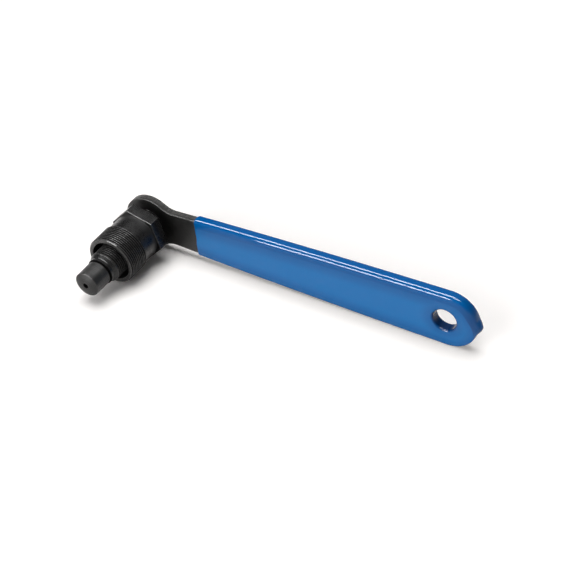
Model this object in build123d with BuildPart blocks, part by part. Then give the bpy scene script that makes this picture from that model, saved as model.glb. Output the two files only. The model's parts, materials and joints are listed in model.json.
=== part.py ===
from build123d import *
import os
from math import cos, hypot, radians, sin, sqrt

os.makedirs("parts", exist_ok=True)

# Crank puller with a fixed lever: a lever-driven pressure screw runs through a threaded puller nut.
# Local tool frame: x along the lever, y across its width, z along the screw towards the swivel tip.
# z = 0 is the front face of the lever bar. Millimetres.

# Lever bar
bar_thick = 3.6
eye_radius = 12.0
eye_blend = 10.0
bar_start = 4.0
bar_start_half = 7.7
bar_mid_half = 10.5
bar_end = 139.9
bar_end_half = 11.9
bar_mid = 0.54 * bar_end
bar_break = 0.25

# Vinyl grip dipped over the bar
coat = 0.6
dip_line = 23.7
grip_round = 0.9
hang_hole_x = bar_end - 1.2
hang_hole_radius = 5.0
nub_reach = 2.0
nub_half = 3.2
nub_sink = 0.4
nub_tip_radius = 1.2
nub_blend = 2.5
hole_round = 0.5

# Puller nut: wrench hexagon, plain neck and the thread that enters the crank arm
rest_gap = 4.65
hex_across = 21.6
hex_thick = 5.2
hex_turn = -14.3
hex_round = 0.3
neck_length = 8.75
neck_relief = 0.6
crank_thread_radius = 10.95
crank_thread_length = 9.9
thread_chamfer = 0.55
thread_pitch = 1.0
thread_depth = 0.57
thread_crest = 0.2
thread_root = 0.1
thread_lead = 0.6
mouth_depth = 6.0
mouth_clear = 2.05

# Pressure screw
screw_radius = 6.95
screw_length = 35.85
nose_radius = 5.95
nose_length = 1.45
nose_taper = 1.5
thread_clear = 0.05
shank_across = 9.5
shank_corner = 0.5
peen_height = 0.8
peen_radius = 6.6

# Swivel tip on its stem, and the spring ring that holds it in the screw
tip_radius = 5.54
tip_length = 8.65
tip_dome = 0.8
tip_edge = 0.3
tip_gap = 0.4
centre_hole_radius = 1.15
centre_hole_depth = 1.8
stem_radius = 3.0
stem_length = 9.0
stem_clear = 0.05
thrust_clear = 0.05
ring_thick = 1.0
ring_setback = 3.6
ring_bite = 0.55
ring_clear = 0.05
ring_split = 2.0

# Levels along the screw axis
hex_back = rest_gap
hex_front = hex_back + hex_thick
neck_front = hex_front + neck_length
nut_front = neck_front + crank_thread_length
mouth_floor = nut_front - mouth_depth
tip_back = screw_length + tip_gap
tip_shoulder = tip_back + tip_length
tip_front = tip_shoulder + tip_dome
stem_end = tip_back - stem_length
bore_floor = stem_end - thrust_clear
ring_front = screw_length - ring_setback
ring_back = ring_front - ring_thick

# Radii that depend on the fits
neck_radius = crank_thread_radius - neck_relief
groove_half = (thread_pitch - thread_crest) / 2
thread_turns = int((crank_thread_length - thread_chamfer) / thread_pitch)
nut_bore = screw_radius + thread_clear
mouth_radius = screw_radius + mouth_clear
stem_bore = stem_radius + stem_clear
ring_outer = stem_bore + ring_bite
ring_inner = stem_radius - ring_bite
stem_groove = ring_inner - ring_clear
bar_hole_radius = hang_hole_radius + coat
grip_end = bar_end + bar_end_half + coat
nub_tip = grip_end + nub_reach
nub_root = nub_tip - 2 * (nub_reach + nub_sink)

# The tool lies on a hexagon corner, on the rim of the crank thread and on the grip's far end.
# Equal heights of those three contacts give the upward direction in the tool frame.
corner_radius = (hex_across / 2 - hex_round) / cos(radians(30))
corner_x = corner_radius * cos(radians(hex_turn - 60))
corner_drop = hex_round - corner_radius * sin(radians(hex_turn - 60))
corner_z = hex_front - hex_round
rim_z = nut_front - thread_chamfer
grip_drop = bar_end_half + coat
grip_z = coat - grip_round
rim_dz = corner_z - rim_z
grip_dz = corner_z - grip_z
rim_dy = corner_drop - crank_thread_radius
grip_dy = corner_drop - grip_drop
grip_dx = corner_x - bar_end
spread = corner_x * grip_dz - grip_dx * rim_dz
up_x = (rim_dy * grip_dz - grip_dy * rim_dz) / spread
up_z = (corner_x * grip_dy - grip_dx * rim_dy) / spread
up = Vector(up_x, 1, up_z).normalized()
along = (Vector(1, 0, 0) - up * up.X).normalized()
side = up.cross(along)

# The tool plane stands over the middle of the footprint, with the contacts on the floor
lift = crank_thread_radius * sqrt(1 - up.Z**2) - up.Z * rim_z
back_reach = (grip_drop - grip_round) * abs(side.Y) - (bar_thick + coat - grip_round) * side.Z + grip_round
tip_reach = side.Z * tip_front - centre_hole_radius * abs(side.Y)
nub_point = nub_tip - nub_tip_radius * (hypot(nub_tip - nub_root, 2 * nub_half) / (2 * nub_half) - 1)
middle_x = -along.X * (nub_point - eye_radius) / 2
middle_y = -(back_reach + tip_reach) / 2
tool = Plane(
    origin=(middle_x, middle_y, lift),
    x_dir=(along.X, side.X, up.X),
    z_dir=(along.Z, side.Z, up.Z),
)
section = Plane(origin=tool.origin, x_dir=tool.x_dir, z_dir=-tool.y_dir)
screw_axis = Axis(tool.origin, tool.z_dir)
lever_axis = Axis(tool.origin, tool.x_dir)

# Lever: flat bar with a round eye, a necked start and a full-radius end
with BuildPart() as lever:
    with BuildSketch(tool.offset(-bar_thick)) as bar_outline:
        with BuildLine():
            upper = ThreePointArc(
                (bar_start, bar_start_half), (bar_mid, bar_mid_half), (bar_end, bar_end_half)
            )
            end = ThreePointArc(upper @ 1, (bar_end + bar_end_half, 0), (bar_end, -bar_end_half))
            lower = ThreePointArc(end @ 1, (bar_mid, -bar_mid_half), (bar_start, -bar_start_half))
            Line(lower @ 1, upper @ 0)
        make_face()
        Circle(eye_radius)
        corners = bar_outline.vertices().filter_by_position(Axis.X, bar_start, eye_radius)
        fillet(corners, eye_blend)
    extrude(amount=bar_thick)
    rims = lever.faces().filter_by(tool).edges()
    chamfer(rims, bar_break)
    with BuildSketch(tool.offset(-bar_thick)):
        RectangleRounded(shank_across, shank_across, shank_corner)
        with Locations((hang_hole_x, 0)):
            Circle(bar_hole_radius)
    extrude(amount=bar_thick, mode=Mode.SUBTRACT)
lever.part.label = "lever"
export_step(lever.part, "parts/lever.step")

# Vinyl grip: a closed skin around the bar from the dip line on, lining the hang hole, with a drip nub
with BuildPart() as grip:
    with BuildSketch(tool.offset(-bar_thick - coat)) as grip_outline:
        with BuildLine():
            upper = ThreePointArc(
                (bar_start, bar_start_half + coat), (bar_mid, bar_mid_half + coat), (bar_end, grip_drop)
            )
            end = ThreePointArc(upper @ 1, (grip_end, 0), (bar_end, -grip_drop))
            lower = ThreePointArc(
                end @ 1, (bar_mid, -bar_mid_half - coat), (bar_start, -bar_start_half - coat)
            )
            Line(lower @ 1, upper @ 0)
        make_face()
        with Locations((dip_line, 0)):
            Rectangle(nub_tip, 4 * grip_drop, align=(Align.MIN, Align.CENTER), mode=Mode.INTERSECT)
        with BuildLine():
            Polyline((nub_tip, 0), (nub_root, 2 * nub_half), (nub_root, -2 * nub_half), close=True)
        make_face()
        fillet(grip_outline.vertices().filter_by_position(Axis.X, bar_end + nub_half, grip_end), nub_blend)
        fillet(grip_outline.vertices().sort_by(Axis.X)[-1], nub_tip_radius)
    extrude(amount=bar_thick + 2 * coat)
    rims = grip.faces().filter_by(tool).edges()
    fillet(rims.filter_by_position(lever_axis, dip_line + coat, nub_tip), grip_round)
    with BuildSketch(tool.offset(-bar_thick - coat)):
        with Locations((hang_hole_x, 0)):
            Circle(hang_hole_radius)
    extrude(amount=bar_thick + 2 * coat, mode=Mode.SUBTRACT)
    fillet(grip.edges(Select.LAST).filter_by(GeomType.CIRCLE), hole_round)
    add(lever.part, mode=Mode.SUBTRACT)
grip.part.label = "grip"
export_step(grip.part, "parts/grip.step")

# Crank thread as closed ridges: one groove for each pitch of the threaded length
ridges = []
for turn in range(thread_turns):
    level = neck_front + thread_lead + turn * thread_pitch
    ridges += [
        (crank_thread_radius, level - groove_half),
        (crank_thread_radius - thread_depth, level - thread_root / 2),
        (crank_thread_radius - thread_depth, level + thread_root / 2),
        (crank_thread_radius, level + groove_half),
    ]

# Puller nut: rounded hexagon, plain neck, crank thread, tapped bore and open mouth
with BuildPart() as nut:
    with BuildSketch(tool.offset(hex_back)):
        RegularPolygon(hex_across / 2, 6, major_radius=False, rotation=hex_turn)
    extrude(amount=hex_thick)
    fillet(nut.edges(), hex_round)
    with BuildSketch(section):
        with BuildLine():
            Polyline(
                (0, hex_front - hex_round),
                (neck_radius, hex_front - hex_round),
                (neck_radius, neck_front - neck_relief),
                (crank_thread_radius, neck_front),
                *ridges,
                (crank_thread_radius, nut_front - thread_chamfer),
                (crank_thread_radius - thread_chamfer, nut_front),
                (0, nut_front),
                close=True,
            )
        make_face()
    revolve(axis=screw_axis)
    with BuildSketch(section):
        with BuildLine():
            Polyline(
                (0, hex_back),
                (nut_bore + thread_chamfer, hex_back),
                (nut_bore, hex_back + thread_chamfer),
                (nut_bore, mouth_floor - mouth_clear),
                (mouth_radius, mouth_floor),
                (mouth_radius, nut_front),
                (0, nut_front),
                close=True,
            )
        make_face()
    revolve(axis=screw_axis, mode=Mode.SUBTRACT)
nut.part.label = "puller_nut"
export_step(nut.part, "parts/puller_nut.step")

# Pressure screw: thread at its major radius, narrower nose, squared shank through the eye, peened at the back
with BuildPart() as screw:
    with BuildSketch(section):
        with BuildLine():
            Polyline(
                (0, 0),
                (screw_radius, 0),
                (screw_radius, screw_length - nose_length - nose_taper),
                (nose_radius, screw_length - nose_length),
                (nose_radius, screw_length),
                (stem_bore, screw_length),
                (stem_bore, ring_front),
                (ring_outer, ring_front),
                (ring_outer, ring_back),
                (stem_bore, ring_back),
                (stem_bore, bore_floor),
                (0, bore_floor),
                close=True,
            )
        make_face()
    revolve(axis=screw_axis)
    with BuildSketch(tool):
        RectangleRounded(shank_across, shank_across, shank_corner)
    extrude(amount=-bar_thick)
    with BuildSketch(section):
        with BuildLine():
            dome = ThreePointArc(
                (0, -bar_thick - peen_height),
                (peen_radius / 2, -bar_thick - 0.75 * peen_height),
                (peen_radius, -bar_thick),
            )
            Polyline(dome @ 1, (0, -bar_thick), dome @ 0)
        make_face()
    revolve(axis=screw_axis)
screw.part.label = "pressure_screw"
export_step(screw.part, "parts/pressure_screw.step")

# Swivel tip: domed thrust face with a centre hole, on a grooved stem that turns in the screw
with BuildPart() as tip:
    with BuildSketch(section):
        with BuildLine():
            Polyline(
                (centre_hole_radius, tip_front),
                (centre_hole_radius, tip_front - centre_hole_depth),
                (0, tip_front - centre_hole_depth - centre_hole_radius / 2),
                (0, stem_end),
                (stem_radius - tip_edge, stem_end),
                (stem_radius, stem_end + tip_edge),
                (stem_radius, ring_back - ring_clear),
                (stem_groove, ring_back - ring_clear),
                (stem_groove, ring_front + ring_clear),
                (stem_radius, ring_front + ring_clear),
                (stem_radius, tip_back),
                (tip_radius - tip_edge, tip_back),
                (tip_radius, tip_back + tip_edge),
                (tip_radius, tip_shoulder - tip_edge),
                (tip_radius - tip_edge, tip_shoulder),
            )
            ThreePointArc(
                (tip_radius - tip_edge, tip_shoulder),
                (0.7 * tip_radius, tip_shoulder + 0.6 * tip_dome),
                (centre_hole_radius, tip_front),
            )
        make_face()
    revolve(axis=screw_axis)
tip.part.label = "swivel_tip"
export_step(tip.part, "parts/swivel_tip.step")

# Spring ring: split, sprung outwards into the groove in the screw, loose in the stem's groove
with BuildPart() as ring:
    with BuildSketch(tool.offset(ring_back)):
        Circle(ring_outer)
        Circle(ring_inner, mode=Mode.SUBTRACT)
        with Locations((0, ring_outer)):
            Rectangle(ring_split, 2 * ring_outer, mode=Mode.SUBTRACT)
    extrude(amount=ring_thick)
ring.part.label = "spring_ring"
export_step(ring.part, "parts/spring_ring.step")
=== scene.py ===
import json
import math

import bmesh
import bpy
import numpy as np
from mathutils import Matrix, Vector


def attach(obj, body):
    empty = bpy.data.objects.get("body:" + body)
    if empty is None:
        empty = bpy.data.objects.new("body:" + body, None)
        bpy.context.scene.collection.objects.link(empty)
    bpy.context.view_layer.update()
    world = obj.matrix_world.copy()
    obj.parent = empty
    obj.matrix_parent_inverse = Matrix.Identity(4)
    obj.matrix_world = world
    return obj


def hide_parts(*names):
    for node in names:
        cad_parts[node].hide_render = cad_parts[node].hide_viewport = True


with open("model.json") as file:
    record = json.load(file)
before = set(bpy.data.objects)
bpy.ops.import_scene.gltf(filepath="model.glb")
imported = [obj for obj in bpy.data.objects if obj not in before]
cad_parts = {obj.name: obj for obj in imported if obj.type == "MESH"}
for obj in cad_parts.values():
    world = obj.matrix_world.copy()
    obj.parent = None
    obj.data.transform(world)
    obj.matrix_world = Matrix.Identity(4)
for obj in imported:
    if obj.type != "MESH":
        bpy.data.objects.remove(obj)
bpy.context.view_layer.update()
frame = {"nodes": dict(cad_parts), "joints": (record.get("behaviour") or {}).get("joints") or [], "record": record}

# The tool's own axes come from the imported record: z along the screw to the tip, x along the lever.
joints = {joint["name"]: joint for joint in frame["joints"]}
mounts = {mount["name"]: mount for mount in frame["record"]["mounts"]}
eyeCentre = np.array(joints["screw_turn"]["pos_m"])
toTip = np.array(joints["screw_turn"]["axis"])
toTip = toTip / np.linalg.norm(toTip)
hangHole = np.array(mounts["hang_hole"]["pos_m"]) - eyeCentre
toGrip = hangHole - toTip * (hangHole @ toTip)
holeReach = 1000 * np.linalg.norm(toGrip)  # screw axis to hang hole, in mm
toGrip = toGrip / np.linalg.norm(toGrip)
toolAxes = np.array([toGrip, np.cross(toTip, toGrip), toTip])


def toRow(points):  # tool millimetres to the row frame in metres: centre + x, y, z along the tool's axes
    return eyeCentre + 0.001 * np.asarray(points) @ toolAxes


gapShade = 0.97  # share of painted shade in gaps and thread roots


# Mesh makers

def gridFaces(rows, columns, wrapRows=False, wrapColumns=False):
    # quad k joins row i and i+1 with column j and j+1; wrapping joins the last to the first
    i = np.arange(rows if wrapRows else rows - 1)[:, None]
    j = np.arange(columns if wrapColumns else columns - 1)[None, :]
    nextI, nextJ = (i + 1) % rows, (j + 1) % columns
    corners = [i * columns + j, nextI * columns + j, nextI * columns + nextJ, i * columns + nextJ]
    return np.stack(corners, -1).reshape(-1, 4)


def patchOf(points, run, across, wear=0.0, wrapRows=False, wrapColumns=False, flip=False):
    # a grid of points with surface coordinates in mm and a wear value, each spread to the grid's size
    rows, columns = points.shape[:2]
    quads = gridFaces(rows, columns, wrapRows, wrapColumns)
    patch = {"points": points.reshape(-1, 3), "quads": quads[:, ::-1] if flip else quads}
    for key, value in (("run", run), ("across", across), ("wear", wear)):
        patch[key] = np.broadcast_to(np.asarray(value, float), (rows, columns)).ravel()
    return patch


def meshFrom(name, patches, sharpAngle):
    # the patches' borders coincide, so merging doubles closes the seams
    starts = np.cumsum([0] + [len(patch["points"]) for patch in patches[:-1]])
    faces = np.concatenate([patch["quads"] + start for patch, start in zip(patches, starts)])
    joined = {}
    for key in ("points", "run", "across", "wear"):
        joined[key] = np.concatenate([patch[key] for patch in patches])
    mesh = bpy.data.meshes.new(name)
    mesh.from_pydata(toRow(joined["points"]), [], faces.tolist())
    loops = np.empty(len(mesh.loops), np.int64)
    mesh.loops.foreach_get("vertex_index", loops)
    surface = np.stack([joined["run"], joined["across"]], -1)[loops]
    mesh.uv_layers.new(name="surface").data.foreach_set("uv", surface.astype(np.float32).ravel())
    wearLayer = mesh.attributes.new("wear", "FLOAT", "CORNER")
    wearLayer.data.foreach_set("value", joined["wear"][loops].astype(np.float32))
    work = bmesh.new()
    work.from_mesh(mesh)
    bmesh.ops.remove_doubles(work, verts=work.verts, dist=2e-6)
    bmesh.ops.dissolve_degenerate(work, edges=work.edges, dist=1e-7)
    work.to_mesh(mesh)
    work.free()
    mesh.shade_smooth()
    mesh.set_sharp_from_angle(angle=math.radians(sharpAngle))
    piece = bpy.data.objects.new(name, mesh)
    bpy.context.scene.collection.objects.link(piece)
    return piece


def turnedGrid(angles, radius, height):
    # a ring of radius r(angle, step) at height z(step): x = r cos, y = r sin
    angles = angles[:, None]
    radius = np.broadcast_to(radius, (len(angles), np.shape(radius)[-1]))
    height = np.broadcast_to(height, radius.shape)
    return np.stack([radius * np.cos(angles), radius * np.sin(angles), height], -1)


def polygonRadius(angles, sides, flat, rounding, turn):
    # centre to the rim of a regular polygon with rounded corners: a straight flat, then the corner's arc
    half = math.pi / sides
    off = np.abs((angles - turn + 2 * half) % (2 * half) - half)  # 0 at mid flat, half at a corner
    flatEnd = np.arctan((flat - rounding) * math.tan(half) / flat)
    reach = (flat - rounding) / math.cos(half)
    beside = half - off
    corner = reach * np.cos(beside) + np.sqrt(np.maximum(rounding**2 - (reach * np.sin(beside))**2, 0))
    return np.where(off < flatEnd, flat / np.cos(off), corner)


def threadFall(angles, height, thread):
    # right-hand helix: 0 on the crest's flat, rising along a straight flank to 1 in the root
    turns = height / thread["pitch"] - angles[:, None] / (2 * math.pi) - thread["phase"]
    off = np.abs((turns + 0.5) % 1 - 0.5) * thread["pitch"]
    flank = (thread["pitch"] - thread["crestFlat"] - thread["rootFlat"]) / 2
    return np.clip((off - thread["crestFlat"] / 2) / flank, 0, 1)


def profileSteps(legs):
    # points along a polyline; each leg gives its start and the longest step to cut it into
    starts = [np.array(leg[:2], float) for leg in legs]
    points = []
    for start, end, leg in zip(starts[:-1], starts[1:], legs):
        count = max(1, math.ceil(np.linalg.norm(end - start) / leg[2]))
        points.append(start + (end - start) * np.linspace(0, 1, count, endpoint=False)[:, None])
    return np.concatenate(points + [starts[-1][None]])


def evenAngles(count):
    return np.linspace(0, 2 * math.pi, count, endpoint=False)


def anglesWithCorners(count, sides, turn, spread):
    # even angles, with a few close together around each corner of a polygon
    corners = turn + 2 * math.pi * np.arange(sides)[:, None] / sides + np.linspace(-spread, spread, 9)
    even = evenAngles(count)
    gap = np.abs((even - turn) * sides / (2 * math.pi) % 1)
    away = np.minimum(gap, 1 - gap) * 2 * math.pi / sides > 1.15 * spread
    return np.sort(np.concatenate([even[away], corners.ravel() % (2 * math.pi)]))


def arcPoints(centre, radius, start, end, count):
    angles = np.linspace(start, end, count)
    return np.stack([centre[0] + radius * np.cos(angles), centre[1] + radius * np.sin(angles)], -1)


def circleThrough(points):
    # centre and radius of the circle through three points, from two perpendicular bisectors
    a, b, c = [np.array(point, float) for point in points]
    centre = np.linalg.solve(2 * np.array([b - a, c - a]), np.array([b @ b - a @ a, c @ c - a @ a]))
    return centre, np.linalg.norm(a - centre)


def arcSection(arcs, thick):
    # a plate's edge from its front face round to its back face, in arcs of (start angle, end angle, radius);
    # the one arc with no radius takes what is left of the thickness; columns: outward, height from the middle
    turns = [(math.radians(start), math.radians(end), radius) for start, end, radius in arcs]
    used = sum(radius * (math.sin(start) - math.sin(end)) for start, end, radius in turns if radius)
    points = [np.zeros((1, 2))]
    for start, end, radius in turns:
        radius = radius or (thick - used) / (math.sin(start) - math.sin(end))
        swing = np.linspace(start, end, max(3, math.ceil(abs(end - start) * 9)))[1:]
        step = radius * np.stack([np.cos(swing) - math.cos(start), np.sin(swing) - math.sin(start)], -1)
        points.append(points[-1][-1] + step)
    section = np.concatenate(points)
    return section - [section[:, 0].max(), (section[0, 1] + section[-1, 1]) / 2]


def rimNormals(rim, closed):
    # outward normal of a clockwise outline: its direction turned left by a right angle
    along = np.roll(rim, -1, 0) - np.roll(rim, 1, 0) if closed else np.gradient(rim, axis=0)
    along = along / np.linalg.norm(along, axis=1, keepdims=True)
    return np.stack([-along[:, 1], along[:, 0]], -1)


def runAlong(rim):
    return np.concatenate([[0], np.cumsum(np.linalg.norm(np.diff(rim, axis=0), axis=1))])


def mirrored(half, closed):
    # an upper half outline carried on through its mirrored lower half, back to the start
    return np.concatenate([half, (half * [1, -1])[-2:0 if closed else None:-1]])


def withHeight(points, height):
    # flat points with their height as a third column
    level = np.broadcast_to(np.asarray(height)[..., None], points.shape[:-1] + (1,))
    return np.concatenate([points, level], -1)


def bell(off, width):  # 1 at 0 and falling away both ways: e to the power of minus (off / width) squared
    return np.exp(-(off / width)**2)


def threadWearAndShade(fall, crest, slope):
    # bright worn crests, and painted shade that thickens down the flanks as slope x fall
    return np.where(fall < 0.12, crest, -np.clip(slope * fall, 0, gapShade))


# Shader nodes

class Wire:
    # one socket of a node tree; + - * ** on it each add a Math node
    def __init__(self, tree, socket=None):
        self.tree = tree
        self.socket = socket

    def add(self, kind, settings=None, sockets=None, out=0):
        # a node of that kind: its settings first, ramp stops among them, then each socket's value or link
        node = self.tree.nodes.new(kind)
        for key, value in (settings or {}).items():
            if key == "stops":
                ramp = node.color_ramp
                while len(ramp.elements) < len(value):
                    ramp.elements.new(0.5)
                for element, (place, shade) in zip(ramp.elements, value):
                    element.position = place
                    element.color = (*shade, 1) if isinstance(shade, tuple) else (shade, shade, shade, 1)
            else:
                setattr(node, key, value)
        for key, value in (sockets or {}).items():
            if isinstance(value, Wire):
                self.tree.links.new(value.socket, node.inputs[key])
            else:
                node.inputs[key].default_value = value
        return Wire(self.tree, node.outputs[out])

    def maths(self, operation, first, second=0.0):
        return self.add("ShaderNodeMath", {"operation": operation}, {0: first, 1: second})

    def __add__(self, other):
        return self.maths("ADD", self, other)

    def __sub__(self, other):
        return self.maths("SUBTRACT", self, other)

    def __rsub__(self, other):
        return self.maths("SUBTRACT", other, self)

    def __mul__(self, other):
        return self.maths("MULTIPLY", self, other)

    def __pow__(self, other):
        return self.maths("POWER", self, other)

    def clipped(self):
        return self.add("ShaderNodeClamp", {}, {"Value": self})

    def between(self, low, high):
        # 0 below low, 1 above high, smooth between
        return self.add("ShaderNodeMapRange", {"interpolation_type": "SMOOTHSTEP"},
                        {"Value": self, "From Min": low, "From Max": high})

    def mixed(self, first, second):
        # a colour between two, by this wire
        ends = [value if isinstance(value, Wire) else (*value, 1) for value in (first, second)]
        return self.add("ShaderNodeMix", {"data_type": "RGBA"}, {"Factor": self, 6: ends[0], 7: ends[1]}, 2)

    __radd__ = __add__
    __rmul__ = __mul__


def newFinish(name, **constants):
    # a material with its Principled shader; constants go straight on the shader's sockets
    finish = bpy.data.materials.new(name)
    finish.use_nodes = True
    tree = finish.node_tree
    shader = tree.nodes["Principled BSDF"]
    for key, value in constants.items():
        shader.inputs[key.replace("_", " ")].default_value = value
    return finish, Wire(tree), shader


def linkShader(wires, shader, **links):
    for key, wire in links.items():
        wires.tree.links.new(wire.socket, shader.inputs[key.replace("_", " ")])


def toolCoordinates(wires):
    # Object coordinates turned into the tool's axes, in millimetres, as three values
    place = wires.add("ShaderNodeTexCoord", out=3)
    shifted = wires.add("ShaderNodeVectorMath", {"operation": "SUBTRACT"}, {0: place, 1: eyeCentre.tolist()})
    values = []
    for axis in toolAxes:
        sockets = {0: shifted, 1: axis.tolist()}
        values.append(wires.add("ShaderNodeVectorMath", {"operation": "DOT_PRODUCT"}, sockets, 1) * 1000.0)
    return values


def surfaceCoordinates(wires):
    surface = wires.add("ShaderNodeUVMap", {"uv_map": "surface"})
    return [wires.add("ShaderNodeSeparateXYZ", {}, {"Vector": surface}, out) for out in (0, 1)]


def noiseAt(wires, x, y, z, scale, detail=3.0, roughness=0.55):
    place = wires.add("ShaderNodeCombineXYZ", {}, {"X": x, "Y": y, "Z": z})
    return wires.add("ShaderNodeTexNoise", {"normalize": True},
                     {"Vector": place, "Scale": scale, "Detail": detail, "Roughness": roughness})


def bumpOf(wires, height):  # height in millimetres
    return wires.add("ShaderNodeBump", {}, {"Strength": 1.0, "Distance": 0.001, "Height": height})


# black for the painted shade in gaps, roots and hollows, and for darkened places
shadeBlack = (0.002, 0.002, 0.002)


def blackFinish(name, look, marks, tone=None):
    # black oxide: a dark coat with cloudy thin places, fine grain and tool marks;
    # bare steel where wear is above 0, rough black where below: painted shade in gaps, roots and hollows
    finish, wires, shader = newFinish(name, Specular_IOR_Level=look["shine"])
    x, y, z = toolCoordinates(wires)
    cloud = noiseAt(wires, x, y, z, 0.22, 4.0)
    grit = noiseAt(wires, x, y, z, 5.0, 2.0)
    chips = noiseAt(wires, x, y, z, 1.3, 4.0, 0.7)
    wear = wires.add("ShaderNodeAttribute", {"attribute_name": "wear"}, out=2)
    bare = (wear * look["wear"] * (chips * 2.2 - 0.55)).clipped()
    # painted shade, and darkening, where wear is below 0
    shadeAndBlackening = (wear * -1.0).clipped()
    coat = (cloud.between(0.35, 0.7) * 0.7 + (grit - 0.5) * 0.9).clipped().mixed(look["coat"], look["thin"])
    if tone:
        coat = tone(wires, coat, x, y, z)
    coat = shadeAndBlackening.mixed(coat, shadeBlack)
    colour = bare.mixed(coat, look["worn"])
    rough = look["roughness"] + (cloud - 0.5) * 0.2 + (grit - 0.5) * 0.2 + shadeAndBlackening * 0.5
    metal = bare * 0.8 + shadeAndBlackening * 0.95
    relief = marks(wires, x, y, z) + grit * look["grain"]
    linkShader(wires, shader, Base_Color=colour, Roughness=rough.clipped(), Metallic=metal.clipped(),
               Normal=bumpOf(wires, relief))
    return finish


def turnedMarks(look):
    # rings left by the lathe: noise over radius and height only, so that it runs round the piece,
    # and a sine wave for the tool's even feed
    def marks(wires, x, y, z):
        radial = (x * x + y * y) ** 0.5
        rings = noiseAt(wires, radial * 3.2, z * 3.2, 0.0, 1.0, 3.0, 0.7)
        wave = wires.maths("SINE", (radial + z) * (2 * math.pi / look["feedStep"]))
        return rings * look["rings"] + wave * look["feed"]
    return marks


# Lever bar

leverBar = {
    "thick": 3.6,
    "eyeRadius": 12.0,
    "eyeBlend": 10.0,
    "sides": ((4.0, 7.7), (75.546, 10.5), (139.9, 11.9)),  # along, half width
    "frontBreak": 0.22,
    "coveredBreak": 0.9,  # the front corner under the vinyl
    "coveredFrom": 23.8,
    "coveredRamp": 0.9,  # length over which the corner changes
    "backRoll": 0.55,  # the punch rolled the back corner
    "shankHalf": 4.75,
    "shankCorner": 0.5,
    "holeRadius": 5.6,
    "shearDepth": 0.78,  # share of the edge that is burnished, from the front
    "shade": (0.45, 0.85),  # the edge darkens between these shares of it, from the back
    "shadeShare": 0.75,
    "cornerWear": 0.15,
    "backDarkening": 0.9,
    "look": {"coat": (0.0045, 0.0044, 0.0043), "thin": (0.011, 0.0105, 0.010), "worn": (0.30, 0.29, 0.28),
             "roughness": 0.34, "shine": 0.45, "wear": 0.6, "grain": 0.02},
    "burnished": (0.075, 0.073, 0.070),
    "broken": (0.014, 0.0135, 0.013),
}
sideCentre, sideRadius = circleThrough(leverBar["sides"])
barEnd, endRadius = leverBar["sides"][2]
barMiddle = -leverBar["thick"] / 2
shearSplit = 101.0 - leverBar["shearDepth"]  # in the edge's depth, 101 at the front and 100 at the back


def barHalf(along):  # half width of the bar: height of the side arc at that length
    return sideCentre[1] + np.sqrt(sideRadius**2 - (along - sideCentre[0])**2)


def plateEdge(sharp):
    # the bar's section: the broken front corner, the straight cut, and the rolled back corner
    half = leverBar["thick"] / 2
    roll = leverBar["backRoll"]
    front = arcPoints((-sharp, half - sharp), sharp, math.pi / 2, 0, 6)
    back = arcPoints((-roll, roll - half), roll, 0, -math.pi / 2, 9)
    return np.concatenate([front, np.linspace(front[-1], back[0], 8)[1:-1], back])


def leverOutline():
    # upper half outline: eye, a blend circle touching the eye and the side arc from outside, side, end
    size = leverBar
    reach = size["eyeRadius"] + size["eyeBlend"]
    apart = np.linalg.norm(sideCentre)
    offset = sideRadius + size["eyeBlend"]
    bearing = math.atan2(sideCentre[1], sideCentre[0])
    swing = math.acos((apart**2 + reach**2 - offset**2) / (2 * apart * reach))
    blendCentre = reach * np.array([math.cos(bearing + swing), math.sin(bearing + swing)])
    eyeEnd = math.atan2(blendCentre[1], blendCentre[0])
    toSide = math.atan2(*(sideCentre - blendCentre)[::-1])
    eye = arcPoints((0, 0), size["eyeRadius"], math.pi, eyeEnd, 60)
    blend = arcPoints(blendCentre, size["eyeBlend"], eyeEnd - math.pi, toSide, 30)
    along = np.linspace(blend[-1, 0], barEnd, 90)
    side = np.stack([along, barHalf(along)], -1)
    end = arcPoints((barEnd, 0), endRadius, math.pi / 2, 0, 40)
    return np.concatenate([eye, blend[1:], side[1:], end[1:]])


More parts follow.
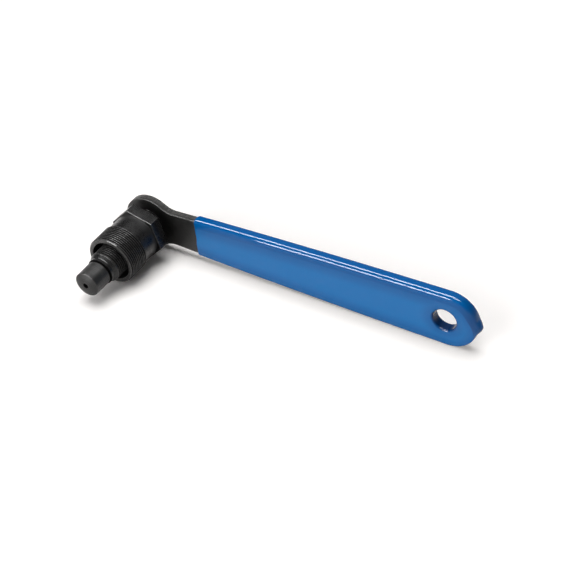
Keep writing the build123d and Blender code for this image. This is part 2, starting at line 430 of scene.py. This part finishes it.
def makeLever():
    # one outline round the bar; the flats run from it to a spine that opens round the shank and the hang hole
    size = leverBar
    rim = mirrored(leverOutline(), True)
    normals = rimNormals(rim, True)
    shankAngles = np.linspace(math.pi, 0, 89)
    shankRadius = polygonRadius(shankAngles, 4, size["shankHalf"], size["shankCorner"], math.pi / 4)
    shank = shankRadius[:, None] * np.stack([np.cos(shankAngles), np.sin(shankAngles)], -1)
    straight = np.linspace((size["shankHalf"], 0), (holeReach - size["holeRadius"], 0), 84)
    hole = arcPoints((holeReach, 0), size["holeRadius"], math.pi, 0, 46)
    spine = mirrored(np.concatenate([shank, straight[1:], hole[1:]]), True)
    covered = np.clip((rim[:, 0] - size["coveredFrom"]) / size["coveredRamp"] + 1, 0, 1)[:, None, None]
    section = plateEdge(size["frontBreak"]) * (1 - covered) + plateEdge(size["coveredBreak"]) * covered
    shares = np.linspace(0, 1, 8)[None, :, None]
    patches = []
    for step, front in ((0, True), (-1, False)):
        border = rim + normals * section[:, step, :1]
        flat = spine[:, None] * (1 - shares) + border[:, None] * shares
        flat = withHeight(flat, barMiddle + section[0, step, 1])
        patches.append(patchOf(flat, flat[..., 0], flat[..., 1], wrapRows=True, flip=not front))
    edge = withHeight(rim[:, None] + normals[:, None] * section[..., :1], barMiddle + section[..., 1])
    depth = -100 - (section[..., 1] / size["thick"] + 0.5)  # -101 at the front of the edge, -100 at its back
    steps = np.arange(section.shape[1])  # 0 to 5 round the front corner, from 12 on round the back
    # worn along the front corner; the rolled back corner is darkened
    cornerWear = size["cornerWear"] * bell(steps - 2.5, 1.2) - size["backDarkening"] * (steps > 12)
    patches.append(patchOf(edge, runAlong(rim)[:, None], depth, cornerWear, wrapRows=True))
    levels = np.array([size["thick"], size["thick"] / 2, 0]) - size["thick"]
    for loop in (shank, hole):
        wall = withHeight(np.repeat(mirrored(loop, True)[:, None], 3, 1), levels)
        patches.append(patchOf(wall, 0, 0, wrapRows=True, flip=True))
    return meshFrom("lever_bar", patches, 40)


def shearZones(wires):
    # the run along the rim, the depth, the share on the edge, and the share burnished by the punch
    run, depth = surfaceCoordinates(wires)
    onEdge = wires.maths("LESS_THAN", depth, -50.0)
    burnished = (depth * -1.0).between(shearSplit - 0.04, shearSplit + 0.04)
    return run, depth, onEdge, burnished


def shearedMarks(wires, x, y, z):
    # the stamped edge: scores across the thickness, torn where the metal broke, a faint texture elsewhere
    run, depth, onEdge, burnished = shearZones(wires)
    scores = noiseAt(wires, run * 2.4, depth * 0.5, 0.0, 1.0, 4.0, 0.7)
    torn = noiseAt(wires, run * 2.0, depth * 9.0, 3.0, 1.0, 4.0, 0.7)
    cut = scores * 0.16 + (1.0 - burnished) * (torn * 0.3 - 0.1)
    return onEdge * cut + noiseAt(wires, x, y, z, 2.0, 4.0) * 0.03


def shearedTone(wires, coat, x, y, z):
    # the edge's colour: streaky and lighter where the punch burnished it, darker to the front,
    # black where the metal broke, with a dark line between
    run, depth, onEdge, burnished = shearZones(wires)
    line = 1.0 - wires.maths("ABSOLUTE", depth + shearSplit).between(0.02, 0.07)
    scores = noiseAt(wires, run * 0.9, depth * 0.3, 5.0, 1.0, 4.0, 0.65)
    shade = scores.between(0.36, 0.62).mixed(leverBar["broken"], leverBar["burnished"])
    front = (depth * -1.0).between(*[100.0 + share for share in leverBar["shade"]])
    shade = (front * leverBar["shadeShare"]).mixed(shade, leverBar["broken"])
    shade = burnished.mixed(leverBar["look"]["coat"], shade)
    shade = (line * 0.7).mixed(shade, leverBar["look"]["coat"])
    return onEdge.mixed(coat, shade)


# Vinyl grip

gripCoat = {
    "coat": 0.6,
    "dipLine": 23.7,
    "dipWave": 0.16,  # how far the dip line wanders
    "lip": 0.8,  # length over which the coat rises from the bar
    "edgeArcs": ((90, 70, 6.0), (70, 12, 2.0), (12, -10, None), (-10, -90, 0.9)),  # front, ridge, top, back
    "lowerArcs": ((90, 70, 0.4), (70, 12, 0.4), (12, -10, None), (-10, -90, 0.9)),  # along the bottom
    "holeRadius": 5.0,
    "holeRound": 0.85,
    "insideRound": 0.05,  # where the skin turns into the bar's own hole
    "nubReach": 2.1,
    "nubSlope": 0.62,
    "nubTip": 0.9,
    "nubBlend": 0.15,
    "blue": (0.001, 0.168, 0.490),
    "shadedBlue": (0.0004, 0.122, 0.385),  # painted shade near the edges
    "shadedEdgeBlue": (0.0002, 0.090, 0.310),  # painted shade on the edges
    "shadeNavy": (0.0002, 0.030, 0.125),  # painted shade on the end and in the hole
    "shadeReach": 6.5,
    "roughness": 0.03,
    "shine": 0.25,
}


def nubHeight(run):
    # drip nub on the end: a ridge falling off linearly both ways, rounded on top and blended into the end
    size = gripCoat
    ridge = size["nubReach"] - size["nubSlope"] * np.sqrt(run**2 + size["nubTip"]**2)
    return 0.5 * ridge + np.sqrt(0.25 * ridge**2 + size["nubBlend"]**2) - 0.012  # less the blend's tail


def coatGrowth(along):
    # share of the coat's full thickness: a quarter round over the lip
    rise = np.clip((along - gripCoat["dipLine"]) / gripCoat["lip"], 0, 1)
    return np.sqrt(1 - (1 - rise)**2)


def dipWander(points):
    # the dip line wanders in x: a slow wave round the bar that fades out along the grip
    wave = np.sin(0.42 * points[..., 1] + 0.5 * points[..., 2]) + 0.6 * np.sin(0.95 * points[..., 1] + 1.7)
    fade = np.clip(1 - (points[..., 0] - gripCoat["dipLine"]) / 9, 0, 1)
    moved = points.copy()
    moved[..., 0] += gripCoat["dipWave"] * wave * fade**2
    return moved


def makeGrip():
    # a closed skin: outside over the bar, its end and the hole's lining, inside on the bar;
    # both meet at the dip line
    size = gripCoat
    coat = size["coat"]
    lip = size["dipLine"] + size["lip"] * np.linspace(0, 1, 12, endpoint=False)**1.5
    along = np.concatenate([lip, np.linspace(size["dipLine"] + size["lip"], barEnd, 100)])
    endAngles = np.linspace(math.pi / 2, 0, 91)[1:]
    nub = np.concatenate([0 * along, nubHeight((endRadius + coat) * endAngles)])
    nub = np.concatenate([nub, nub[-2::-1]])
    overall = leverBar["thick"] + 2 * coat
    upperSection, lowerSection = [arcSection(size[key], overall) for key in ("edgeArcs", "lowerArcs")]
    steps = np.linspace(0, 1, len(upperSection))
    barEdge = plateEdge(leverBar["coveredBreak"])
    barRun = runAlong(barEdge) / runAlong(barEdge)[-1]
    innerSection = np.stack([np.interp(steps, barRun, column) for column in barEdge.T], -1)
    edges = []
    for grown, upper, lower in ((coat, upperSection, lowerSection), (0.0, innerSection, innerSection)):
        end = arcPoints((barEnd, 0), endRadius + grown, math.pi / 2, 0, 91)[1:]
        rim = mirrored(np.concatenate([np.stack([along, barHalf(along) + grown], -1), end]), False)
        onEnd = np.clip(0.5 - rim[:, 1] / endRadius, 0, 1)
        below = np.where(rim[:, 0] > barEnd, onEnd, rim[:, 1] < 0)  # 0 on the upper side, 1 on the lower
        below = (below**2 * (3 - 2 * below))[:, None, None]
        section = upper * (1 - below) + lower * below
        outward = section[..., 0]
        if grown:
            height = np.clip(section[..., 1] / section[0, 0, 1], -0.999, 0.999)  # 1 in front, -1 behind
            outward = outward + nub[:, None] * np.cos(0.5 * math.pi * height)**0.7
        around = rim[:, None] + rimNormals(rim, False)[:, None] * outward[..., None]
        edges.append(withHeight(around, section[..., 1]))
    growth = coatGrowth(rim[:, 0])[:, None, None]
    skin = edges[1] + (edges[0] - edges[1]) * growth
    shares = np.linspace(0, 1, 9)[None, :, None]
    patches = []
    for edge, radius, rounding, grown, inside in (
            (skin, size["holeRadius"], size["holeRound"], coat, False),
            (edges[1], leverBar["holeRadius"], size["insideRound"], 0.0, True)):
        half = leverBar["thick"] / 2 + grown
        spineX = np.linspace(size["dipLine"] + size["lip"], holeReach - radius - rounding, 92)
        spineX = np.concatenate([lip, spineX])
        holeCount = (len(edge) + 1) // 2 - len(spineX) + 1
        hole = arcPoints((holeReach, 0), radius + rounding, math.pi, 0, holeCount)
        spine = mirrored(np.concatenate([np.stack([spineX, 0 * spineX], -1), hole[1:]]), False)
        level = leverBar["thick"] / 2 + grown * coatGrowth(spine[:, 0])
        for side, border in ((1, edge[:, 0]), (-1, edge[:, -1])):
            middle = withHeight(spine, side * level)
            flat = middle[:, None] * (1 - shares) + border[:, None] * shares
            fromRim = np.linalg.norm(border - middle, axis=1)[:, None] * (1 - shares[..., 0])
            fromHole = np.hypot(flat[..., 0] - holeReach, flat[..., 1]) - radius
            fromEdge = np.minimum(fromRim, fromHole)
            patches.append(patchOf(flat, flat[..., 0], fromEdge, flip=(side > 0) == inside))
        endShade = np.clip((edge[..., 0] - barEnd) / endRadius - 0.35, 0, 0.5)  # painted shade on the end, the side turned from the light
        endShade = endShade * np.clip(edge[..., 1] / 5 + 1, 0.2, 1)
        patches.append(patchOf(edge, edge[..., 0], 0, endShade, flip=inside))
        mouthRound = arcPoints((rounding, half - rounding), rounding, math.pi / 2, math.pi, 9)
        wallSection = np.concatenate([mouthRound, mouthRound[::-1] * [1, -1]])
        angles = np.linspace(math.pi, -math.pi, 2 * holeCount - 1)
        wall = turnedGrid(angles, radius + wallSection[None, :, 0], wallSection[:, 1]) + [holeReach, 0, 0]
        # painted shade in the hole's lining, darkest half way through
        liningShade = np.sin(np.linspace(0, math.pi, wall.shape[1]))
        patches.append(patchOf(wall, wall[..., 0], 0, liningShade, flip=not inside))
    for patch in patches:
        patch["points"] = dipWander(patch["points"]) + [0, 0, barMiddle]
    return meshFrom("vinyl_grip", patches, 60)


def vinylFinish():
    # dipped vinyl: saturated blue, painted shade towards the edges, on the end and in the hole, faintly cloudy,
    # with a barely wavy glossy skin
    finish, wires, shader = newFinish("dipped_vinyl", Specular_IOR_Level=gripCoat["shine"])
    x, y, z = toolCoordinates(wires)
    fromEdge = surfaceCoordinates(wires)[1]
    cloud = noiseAt(wires, x * 0.5, y, z, 0.12, 3.0)
    speckle = noiseAt(wires, x, y, z, 1.4, 3.0, 0.6)
    # painted shade towards the edges, with cloudy and speckled tone
    tint = fromEdge.between(0.3, gripCoat["shadeReach"]) + (cloud - 0.5) * 0.3 + (speckle - 0.5) * 0.3
    colour = tint.clipped().mixed(gripCoat["shadedBlue"], gripCoat["blue"])
    # painted shade on the edges
    colour = fromEdge.between(-0.4, 0.8).mixed(gripCoat["shadedEdgeBlue"], colour)
    # the wear attribute carries the painted shade on the end and in the hole's lining
    thick = wires.add("ShaderNodeAttribute", {"attribute_name": "wear"}, out=2)
    colour = thick.clipped().mixed(colour, gripCoat["shadeNavy"])
    rough = gripCoat["roughness"] + (speckle - 0.5) * 0.03
    linkShader(wires, shader, Base_Color=colour, Roughness=rough.clipped(),
               Normal=bumpOf(wires, cloud * 0.04 + speckle * 0.0006))
    return finish


# Puller nut

pullerNut = {
    "hexFlat": 10.8,
    "hexBack": 4.65,
    "hexFront": 9.85,
    "hexRound": 0.2,
    "hexTurn": -14.3,  # degrees
    "neckRadius": 10.35,
    "neckFront": 18.6,
    "crest": 10.95,
    "thread": {"pitch": 1.0, "phase": 0.54, "crestFlat": 0.2, "rootFlat": 0.1, "depth": 0.57},
    "front": 28.5,
    "chamfer": 0.55,
    "mouthRadius": 9.0,
    "mouthFloor": 22.5,
    "boreRadius": 7.0,
    "ringGroove": {"radius": 9.85, "depth": 0.08, "width": 0.1},  # turned in the end ring
    "cornerWear": 0.4,
    "crestWear": 0.12,
    "chamferWear": 0.15,
    "ringWear": 0.15,
    "ringEdgeWear": 0.6,
    # painted shade on the neck beside the hexagon, and inside the mouth
    "neckShade": 0.6,
    "mouthShade": 0.55,
    "look": {"coat": (0.0055, 0.0055, 0.0058), "thin": (0.0135, 0.0132, 0.013), "worn": (0.34, 0.33, 0.32),
             "roughness": 0.28, "shine": 0.46, "wear": 1.0, "grain": 0.012,
             "rings": 0.03, "feed": 0.0, "feedStep": 0.78},
}


def makeNut():
    # one grid, closed round the axis and round the section: hexagon, neck, thread, end ring, mouth, bore
    size = pullerNut
    turn = math.radians(size["hexTurn"])
    angles = anglesWithCorners(216, 6, turn, math.radians(1.1))
    rounding, hexBack, hexFront = [size[key] for key in ("hexRound", "hexBack", "hexFront")]
    arc = np.linspace(0, math.pi / 2, 5)
    faceEnd = [rounding + 0.1]
    inset = np.concatenate([faceEnd, rounding * (1 - np.sin(arc)), rounding * (1 - np.cos(arc)), faceEnd])
    hexLevel = np.concatenate([[hexBack], hexBack + rounding * (1 - np.cos(arc)),
                               hexFront - rounding * (1 - np.sin(arc)), [hexFront]])
    hexRadius = []
    for step in inset:
        cornerRound = max(rounding - 0.5 * step, 0.05)
        hexRadius.append(polygonRadius(angles, 6, size["hexFlat"] - step, cornerRound, turn))
    neckRadius, crest, front, chamfer = [size[key] for key in ("neckRadius", "crest", "front", "chamfer")]
    threadStart = size["neckFront"] - (crest - neckRadius)
    fillet = np.array([neckRadius, hexFront]) + np.array([[0.04, 0], [0.02, 0.1], [0, 0.5]])
    plain = np.linspace((neckRadius, hexFront + 0.7), (neckRadius, threadStart), 24, endpoint=False)
    neck = np.concatenate([fillet, plain])
    levels = np.linspace(threadStart, front, 20 * math.ceil(front - threadStart))[:-1]
    fall = threadFall(angles, levels, size["thread"])
    cones = np.minimum(neckRadius + levels - threadStart, crest - (levels - front + chamfer))
    thread = np.minimum(crest - size["thread"]["depth"] * fall, cones)
    mouth, bore = size["mouthRadius"], size["boreRadius"]
    inside = profileSteps([(crest - chamfer, front, 0.12), (mouth + 0.2, front, 0.1),
                           (mouth, front - 0.2, 0.6), (mouth, size["mouthFloor"], 0.4),
                           (bore, size["mouthFloor"] - mouth + bore, 1.0), (bore, hexBack + chamfer, 0.3),
                           (bore + chamfer, hexBack, 0)])
    onRing = inside[:, 1] > front - 0.01
    groove = size["ringGroove"]
    inside[:, 1] -= groove["depth"] * onRing * bell(inside[:, 0] - groove["radius"], groove["width"])
    rings = [(np.stack(hexRadius, 1), hexLevel), (neck[None, :, 0], neck[:, 1]), (thread, levels),
             (inside[None, :, 0], inside[:, 1])]
    grid = np.concatenate([turnedGrid(angles, radius, height) for radius, height in rings], 1)
    corner = np.abs((angles - turn + math.pi / 6) % (math.pi / 3) - math.pi / 6)
    rimWear = np.array([0, 0, 0, 0.15, 0.05, 0, 0, 0.05, 0.2, 0.1, 0, 0])  # back rim, then front rim
    hexWear = size["cornerWear"] * bell(corner, 0.008)[:, None] + rimWear
    # painted shade on the neck beside the hexagon, reaching further below its corners
    stepUp = polygonRadius(angles, 6, size["hexFlat"], rounding, turn) - neckRadius
    neckShading = -size["neckShade"] * bell(neck[:, 1] - hexFront, 0.5 + 1.1 * stepUp[:, None])
    # worn crests and chamfer, painted shade down the flanks into the roots
    ridgeWearAndShade = threadWearAndShade(fall, size["crestWear"], 3.0)
    ridgeWearAndShade = np.where(levels > front - chamfer + 0.1, size["chamferWear"], ridgeWearAndShade)
    # worn at the ring's inner edge, painted shade deeper inside the mouth
    mouthWearAndShade = bell(inside[:, 1] - front, 0.2) - size["mouthShade"] * (inside[:, 1] < front - 0.5)
    ringWear = size["ringWear"] + size["ringEdgeWear"] * bell(inside[:, 0] - crest + chamfer, 0.12)
    insideWearAndShade = np.where(onRing, ringWear, mouthWearAndShade)
    wear = [hexWear, neckShading, ridgeWearAndShade, np.broadcast_to(insideWearAndShade, (len(angles), len(inside)))]
    patch = patchOf(grid, angles[:, None] * crest, grid[..., 2], np.concatenate(wear, 1), True, True)
    return meshFrom("puller_nut_body", [patch], 38)


# Pressure screw

pressureScrew = {
    "crest": 6.95,
    "thread": {"pitch": 1.0, "phase": 0.05, "crestFlat": 0.2, "rootFlat": 0.1, "depth": 0.5},
    "threadEnd": 31.9,
    "length": 35.85,
    "noseRadius": 5.95,
    "noseLength": 1.45,
    "noseTaper": 1.5,
    "peenHeight": 0.8,
    "peenRadius": 6.6,
    "boreRadius": 3.05,
    "boreFloor": 27.2,
    "grooveRadius": 3.6,
    "groove": (31.25, 32.25),
    "crestWear": 0.15,
    "noseWear": 0.15,
    "look": {"coat": (0.006, 0.006, 0.006), "thin": (0.015, 0.0147, 0.0145), "worn": (0.30, 0.29, 0.28),
             "roughness": 0.27, "shine": 0.28, "wear": 0.8, "grain": 0.015,
             "rings": 0.03, "feed": 0.0, "feedStep": 0.78},
}


def closePole(points):
    # a polar grid whose first and last columns are drawn to the axis, so that merging closes both ends
    points[:, 0, :2] = 0
    points[:, -1, :2] = 0
    return points


def makeScrew():
    # one grid from the peened back to the bore's floor: dome, square shank, helical thread, plain nose, bore
    size = pressureScrew
    angles = anglesWithCorners(112, 4, math.pi / 4, math.radians(4.5))
    shankLength = leverBar["thick"]
    sphere = (size["peenRadius"]**2 + size["peenHeight"]**2) / (2 * size["peenHeight"])
    domeRadius = size["peenRadius"] * np.linspace(0, 1, 24)
    dome = sphere - np.sqrt(sphere**2 - domeRadius**2) - shankLength - size["peenHeight"]
    square = polygonRadius(angles, 4, leverBar["shankHalf"], leverBar["shankCorner"], math.pi / 4)
    shank = np.array([-shankLength, -0.5 * shankLength, 0.0])
    levels = np.linspace(0.0, size["threadEnd"] + 0.8, 17 * 33)
    fall = threadFall(angles, levels, size["thread"])
    lead = np.clip((size["threadEnd"] + 0.6 - levels) / 0.6, 0, 1)  # the groove runs out before the nose
    fall = fall * (lead * lead * (3 - 2 * lead))
    crest, noseRadius, length, bore = [size[key] for key in ("crest", "noseRadius", "length", "boreRadius")]
    thread = np.minimum(crest - size["thread"]["depth"] * fall, crest - 0.35 + levels)
    taperEnd = length - size["noseLength"]
    taperStart = taperEnd - size["noseTaper"]
    grooveBack, grooveFront = size["groove"]
    nose = profileSteps([(crest, size["threadEnd"] + 0.85, 0.2), (crest, taperStart, 0.12),
                         (noseRadius, taperEnd, 0.3), (noseRadius, length - 0.15, 0.1),
                         (noseRadius - 0.15, length, 0.4), (bore + 0.1, length, 0.1),
                         (bore, length - 0.1, 1.0), (bore, grooveFront, 0.5),
                         (size["grooveRadius"], grooveFront, 0.5), (size["grooveRadius"], grooveBack, 0.5),
                         (bore, grooveBack, 1.0), (bore, size["boreFloor"], 0.8), (0, size["boreFloor"], 0)])
    wide = (len(angles), 1)
    radius = [np.tile(domeRadius, wide), np.repeat(square[:, None], 3, 1), thread, np.tile(nose[:, 0], wide)]
    height = np.concatenate([dome, shank, levels, nose[:, 1]])
    grid = closePole(turnedGrid(angles, np.concatenate(radius, 1), height))
    noseWear = size["noseWear"] * bell(nose[:, 1] - taperStart, 0.25) * (nose[:, 0] > noseRadius)
    noseWear[nose[:, 1] > length - 0.2] = -gapShade  # painted shade in the gap behind the tip
    plain = np.zeros((len(angles), len(dome) + len(shank)))
    wear = np.concatenate([plain, threadWearAndShade(fall, size["crestWear"], 2.2), np.tile(noseWear, wide)], 1)
    patch = patchOf(grid, angles[:, None] * crest, grid[..., 2], wear, wrapRows=True)
    return meshFrom("pressure_screw_body", [patch], 38)


# Swivel tip

swivelTip = {
    "radius": 5.54,
    "back": 36.25,
    "shoulder": 44.9,
    "front": 45.7,
    "edge": 0.3,
    "holeRadius": 1.15,
    "holeDepth": 1.8,
    "stemRadius": 3.0,
    "stemEnd": 27.25,
    "grooveRadius": 2.4,
    "groove": (31.2, 32.3),
    "rimWear": 0.15,
    "faceDarkening": 0.25,
    "holeShade": 0.95,
    "faced": (0.008, 0.0077, 0.0073),
    "look": {"coat": (0.014, 0.014, 0.014), "thin": (0.036, 0.035, 0.034), "worn": (0.26, 0.25, 0.24),
             "roughness": 0.36, "shine": 0.34, "wear": 0.6, "grain": 0.012,
             "rings": 0.1, "feed": 0.012, "feedStep": 0.78},
}


def makeTip():
    # turned profile from the bottom of the centre hole over the domed face, down the side and along the stem
    size = swivelTip
    angles = evenAngles(144)
    outer, edge, stem, hole = [size[key] for key in ("radius", "edge", "stemRadius", "holeRadius")]
    shoulder, front, back, stemEnd = [size[key] for key in ("shoulder", "front", "back", "stemEnd")]
    onDome = (0.7 * outer, shoulder + 0.6 * (front - shoulder))
    centre, sphere = circleThrough(((outer - edge, shoulder), onDome, (hole, front)))
    domeRadius = np.linspace(hole + 0.12, outer - edge, 30)
    dome = np.stack([domeRadius, centre[1] + np.sqrt(sphere**2 - (domeRadius - centre[0])**2)], -1)
    floor = front - size["holeDepth"]
    drilled = profileSteps([(0, floor - hole / 2, 0.3), (hole, floor, 0.3), (hole, dome[0, 1] - 0.12, 0)])
    rim = arcPoints((outer - edge, shoulder - edge), edge, math.pi / 2, 0, 6)[1:]
    grooveBack, grooveFront = size["groove"]
    side = profileSteps([(outer, shoulder - edge - 0.05, 0.3), (outer, back + edge, 0.15),
                         (outer - edge, back, 0.5), (stem, back, 1.0), (stem, grooveFront, 0.5),
                         (size["grooveRadius"], grooveFront, 0.5), (size["grooveRadius"], grooveBack, 0.5),
                         (stem, grooveBack, 1.0), (stem, stemEnd + edge, 0.2),
                         (stem - edge, stemEnd, 0.8), (0, stemEnd, 0)])
    profile = np.concatenate([drilled, dome, rim, side])
    grid = closePole(turnedGrid(angles, profile[None, :, 0], profile[:, 1]))
    atShoulder = np.abs(profile[:, 1] - shoulder) < 0.4
    wear = size["rimWear"] * bell(profile[:, 0] - outer + 0.1, 0.12) * atShoulder
    # the faced end is darkened
    wear[profile[:, 1] > shoulder] -= size["faceDarkening"]
    # painted shade down the centre hole
    wear[:len(drilled)] = -size["holeShade"]
    wear[profile[:, 1] < back + edge + 0.05] = -gapShade  # painted shade in the gap behind the tip
    patch = patchOf(grid, angles[:, None] * outer, grid[..., 2], wear, wrapRows=True, flip=True)
    return meshFrom("swivel_tip_body", [patch], 38)


def facedTone(wires, coat, x, y, z):
    # the faced end is darker than the side, with faint rings about the centre hole
    radial = (x * x + y * y) ** 0.5
    rings = noiseAt(wires, radial * 2.5, 0.0, 0.0, 1.0, 3.0, 0.7)
    onFace = z.between(swivelTip["shoulder"] - 0.2, swivelTip["shoulder"])
    return (onFace * (0.2 + rings)).clipped().mixed(coat, swivelTip["faced"])


# Spring ring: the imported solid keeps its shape

def springFinish():
    # drawn spring steel: bright, with fine scratches along the wire
    finish, wires, shader = newFinish("spring_steel", Metallic=1.0)
    x, y, z = toolCoordinates(wires)
    scratch = noiseAt(wires, x, y, z * 8.0, 1.5)
    linkShader(wires, shader, Base_Color=scratch.mixed((0.30, 0.30, 0.31), (0.42, 0.42, 0.43)),
               Roughness=0.25 + scratch * 0.2)
    return finish


def dress(piece, finish, body=None, node=None):
    piece.data.materials.clear()
    piece.data.materials.append(finish)
    if node:
        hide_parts(node)
        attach(piece, body)
        print(piece.name, "has", len(piece.data.vertices), "points and", len(piece.data.polygons), "faces")


leverBlack = blackFinish("lever_black", leverBar["look"], shearedMarks, shearedTone)
nutBlack = blackFinish("nut_black", pullerNut["look"], turnedMarks(pullerNut["look"]))
screwBlack = blackFinish("screw_black", pressureScrew["look"], turnedMarks(pressureScrew["look"]))
tipBlack = blackFinish("tip_black", swivelTip["look"], turnedMarks(swivelTip["look"]), facedTone)
dress(makeLever(), leverBlack, "screw", "lever")
dress(makeGrip(), vinylFinish(), "screw", "grip")
bpy.data.objects["vinyl_grip"].visible_diffuse = False  # keeps its blue off the floor's shadow
dress(makeNut(), nutBlack, "nut", "puller_nut")
dress(makeScrew(), screwBlack, "screw", "pressure_screw")
dress(makeTip(), tipBlack, "tip", "swivel_tip")
dress(frame["nodes"]["spring_ring"], springFinish())


# Floor, lights and camera

studio = {
    "floorSize": 6.0,
    "floorDrop": 0.00005,  # keeps it clear of the lowest faces
    "floorColour": (0.45, 0.445, 0.44),  # what it throws back on the tool
    "floorSeen": (1.10, 1.075, 1.06),  # what the camera and reflections see
    "horizon": 0.45,
    "ceiling": 0.07,
    "fade": (0.12, 0.4),  # heights between which the horizon turns to ceiling
    "middle": (0.0, 0.02, 0.012),  # what the soft boxes face
}
suns = {
    "soft_sky": {"from": (-0.1, 0.0, 1.0), "strength": 2.25, "angle": 48.0},
    "front_fill": {"from": (-0.36, -0.9, 0.45), "strength": 1.9, "angle": 45.0},
}
softBoxes = {
    "topBox": {"towards": (-0.10, -0.155, 0.95), "distance": 0.9, "size": (1.2, 0.26), "radiance": 42.0},
    "frontBox": {"towards": (-0.32, -0.90, 0.16), "distance": 0.9, "size": (0.34, 0.26), "radiance": 42.0},
    "backBox": {"towards": (-0.05, 0.575, 0.81), "distance": 0.9, "size": (1.1, 0.8), "radiance": 0.3},
}


def makeFloor():
    half = studio["floorSize"] / 2
    corners = [[-half, -half, 0], [half, -half, 0], [half, half, 0], [-half, half, 0]]
    mesh = bpy.data.meshes.new("studio_floor")
    mesh.from_pydata(np.array(corners) - [0, 0, studio["floorDrop"]], [], [[0, 1, 2, 3]])
    floor = bpy.data.objects.new("studio_floor", mesh)
    bpy.context.scene.collection.objects.link(floor)
    finish, wires, shader = newFinish("white_floor")
    rays = ("Is Camera Ray", "Is Glossy Ray", "Is Transmission Ray")
    seen = sum(wires.add("ShaderNodeLightPath", out=ray) for ray in rays)
    colour = seen.clipped().mixed(studio["floorColour"], studio["floorSeen"])
    matt = wires.add("ShaderNodeBsdfDiffuse", {}, {"Color": colour})
    wires.tree.links.new(matt.socket, wires.tree.nodes["Material Output"].inputs["Surface"])
    floor.data.materials.append(finish)


def makeWorld():
    # pale near the horizon, darker overhead, by the height of the direction looked along
    world = bpy.data.worlds.new("studio_world")
    bpy.context.scene.world = world
    world.use_nodes = True
    wires = Wire(world.node_tree)
    direction = wires.add("ShaderNodeTexCoord", out=0)
    height = wires.add("ShaderNodeSeparateXYZ", {}, {"Vector": direction}, out=2)
    stops = list(zip(studio["fade"], (studio["horizon"], studio["ceiling"])))
    ramp = wires.add("ShaderNodeValToRGB", {"stops": stops}, {"Fac": height})
    wires.tree.links.new(ramp.socket, wires.tree.nodes["Background"].inputs["Color"])


def makeSun(name, sun):
    lamp = bpy.data.lights.new(name, "SUN")
    lamp.energy = sun["strength"]
    lamp.angle = math.radians(sun["angle"])
    light = bpy.data.objects.new(name, lamp)
    light.rotation_euler = Vector(sun["from"]).to_track_quat("Z", "Y").to_euler()
    light.visible_glossy = False
    bpy.context.scene.collection.objects.link(light)


def makeSoftBox(name, box):
    # an area lamp facing the tool's middle, its long side along the lever; power = radiance x pi x area
    lamp = bpy.data.lights.new(name, "AREA")
    lamp.shape = "RECTANGLE"
    lamp.size, lamp.size_y = box["size"]
    lamp.energy = box["radiance"] * math.pi * lamp.size * lamp.size_y
    towards = Vector(box["towards"]).normalized()
    across = (Vector((1, 0, 0)) - towards * towards.x).normalized()
    turn = Matrix((across, towards.cross(across), towards)).transposed().to_4x4()
    light = bpy.data.objects.new(name, lamp)
    light.matrix_world = Matrix.Translation(Vector(studio["middle"]) + towards * box["distance"]) @ turn
    light.visible_camera = False
    light.visible_diffuse = False
    bpy.context.scene.collection.objects.link(light)


photoView = {
    "target": (0.0024941, 0.0105692, 0.01188),
    "distance": 0.558199,
    "lookDown": 38.4039,
    "swing": 33.3136,  # the camera stands this far round to the right of the front
    "roll": -3.5595,
    "lens": 88.112,
}


def makeCamera():
    # on a ray from the target: swung to the right, raised, then rolled about its own axis
    view = photoView
    swing, down, roll = [math.radians(view[key]) for key in ("swing", "lookDown", "roll")]
    back = Vector((math.sin(swing) * math.cos(down), -math.cos(swing) * math.cos(down), math.sin(down)))
    camera = bpy.data.objects.new("photo_camera", bpy.data.cameras.new("photo_camera"))
    camera.data.lens = view["lens"]
    camera.data.sensor_width = 36.0
    camera.data.clip_start, camera.data.clip_end = 0.01, 50
    turn = (-back).to_track_quat("-Z", "Y").to_matrix().to_4x4() @ Matrix.Rotation(roll, 4, "Z")
    camera.matrix_world = Matrix.Translation(Vector(view["target"]) + back * view["distance"]) @ turn
    bpy.context.scene.collection.objects.link(camera)
    bpy.context.scene.camera = camera


makeFloor()
makeWorld()
for name, sun in suns.items():
    makeSun(name, sun)
for name, box in softBoxes.items():
    makeSoftBox(name, box)
makeCamera()
bpy.context.scene.view_settings.view_transform = "Standard"
print("floor, lights and camera set")
